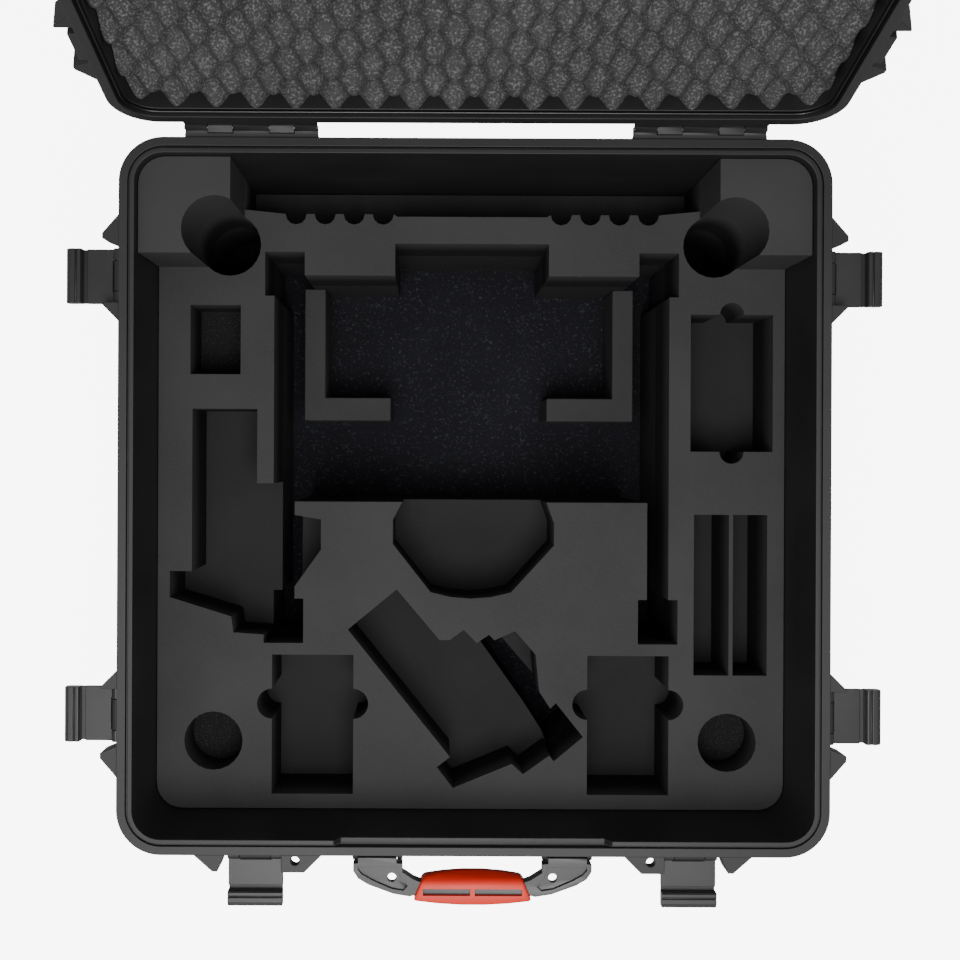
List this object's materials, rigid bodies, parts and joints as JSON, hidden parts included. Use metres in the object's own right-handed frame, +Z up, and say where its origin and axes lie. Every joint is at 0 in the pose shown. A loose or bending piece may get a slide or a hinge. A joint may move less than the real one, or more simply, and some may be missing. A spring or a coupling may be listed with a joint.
{
  "type": "drone carrying case",
  "caption": "Square deep moulded hard case with a hinged lid, swing latches, a folding front handle and foam inserts cut for a folded drone and its controllers.",
  "frame": {"origin": "middle of the base's flat underside", "axes": "+Z up, +X to the right, +Y towards the hinges, so the handle faces -Y; the lid stands open at rest"},
  "size_m": [0.775, 0.9661, 0.9937],
  "materials": {
    "shell_plastic": "moulded, fine matt texture",
    "latch_nylon": "moulded satin",
    "pin_steel": "drawn, dark",
    "seal_rubber": "satin",
    "grip_rubber": "satin moulded",
    "insert_foam": "matte closed-cell foam",
    "pad_foam": "matte black foam",
    "egg_crate_foam": "matte open-cell foam"
  },
  "bodies": {
    "base": {"base_shell": "shell_plastic", "base_hinge_left": "shell_plastic", "base_hinge_right": "shell_plastic", "hinge_pin_left": "pin_steel", "hinge_pin_right": "pin_steel", "foam_bottom_pad": "pad_foam", "foam_lower_layer": "insert_foam", "foam_main_layer": "insert_foam", "foam_corner_block_left": "insert_foam", "foam_corner_block_right": "insert_foam", "foam_cradle_left": "insert_foam", "foam_cradle_right": "insert_foam", "handle_pin_left": "pin_steel", "handle_pin_right": "pin_steel", "pressure_valve_body": "shell_plastic", "pressure_valve_knob": "latch_nylon", "latch_pin_front_left": "pin_steel", "latch_pin_front_right": "pin_steel", "latch_pin_left_front": "pin_steel", "latch_pin_left_back": "pin_steel", "latch_pin_right_front": "pin_steel", "latch_pin_right_back": "pin_steel"},
    "lid": {"lid_shell": "shell_plastic", "lid_foam": "egg_crate_foam", "lid_seal": "seal_rubber", "lid_hinge_left": "shell_plastic", "lid_hinge_right": "shell_plastic"},
    "handle": {"handle_frame": "latch_nylon", "handle_grip": "grip_rubber"},
    "latch_front_left": {"latch_front_left": "latch_nylon"},
    "latch_front_right": {"latch_front_right": "latch_nylon"},
    "latch_left_front": {"latch_left_front": "latch_nylon"},
    "latch_left_back": {"latch_left_back": "latch_nylon"},
    "latch_right_front": {"latch_right_front": "latch_nylon"},
    "latch_right_back": {"latch_right_back": "latch_nylon"}
  },
  "joints": [
    {"name": "lid_hinge", "type": "hinge", "parent": "base", "child": "lid", "pos_m": [0, 0.3446, 0.318], "axis": [1, 0, 0], "range_deg": [0, 104]},
    {"name": "latch_front_left_pivot", "type": "hinge", "parent": "base", "child": "latch_front_left", "pos_m": [-0.206, -0.3405, 0.2975], "axis": [-1, 0, 0], "range_deg": [0, 90]},
    {"name": "latch_front_right_pivot", "type": "hinge", "parent": "base", "child": "latch_front_right", "pos_m": [0.206, -0.3405, 0.2975], "axis": [-1, 0, 0], "range_deg": [0, 90]},
    {"name": "latch_left_front_pivot", "type": "hinge", "parent": "base", "child": "latch_left_front", "pos_m": [-0.3385, -0.208, 0.2975], "axis": [0, 1, 0], "range_deg": [0, 90]},
    {"name": "latch_left_back_pivot", "type": "hinge", "parent": "base", "child": "latch_left_back", "pos_m": [-0.3385, 0.208, 0.2975], "axis": [0, 1, 0], "range_deg": [0, 90]},
    {"name": "latch_right_front_pivot", "type": "hinge", "parent": "base", "child": "latch_right_front", "pos_m": [0.3385, -0.208, 0.2975], "axis": [0, -1, 0], "range_deg": [0, 90]},
    {"name": "latch_right_back_pivot", "type": "hinge", "parent": "base", "child": "latch_right_back", "pos_m": [0.3385, 0.208, 0.2975], "axis": [0, -1, 0], "range_deg": [0, 90]},
    {"name": "handle_pivot", "type": "hinge", "parent": "base", "child": "handle", "pos_m": [0, -0.3405, 0.2975], "axis": [1, 0, 0], "range_deg": [0, 90]}
  ]
}
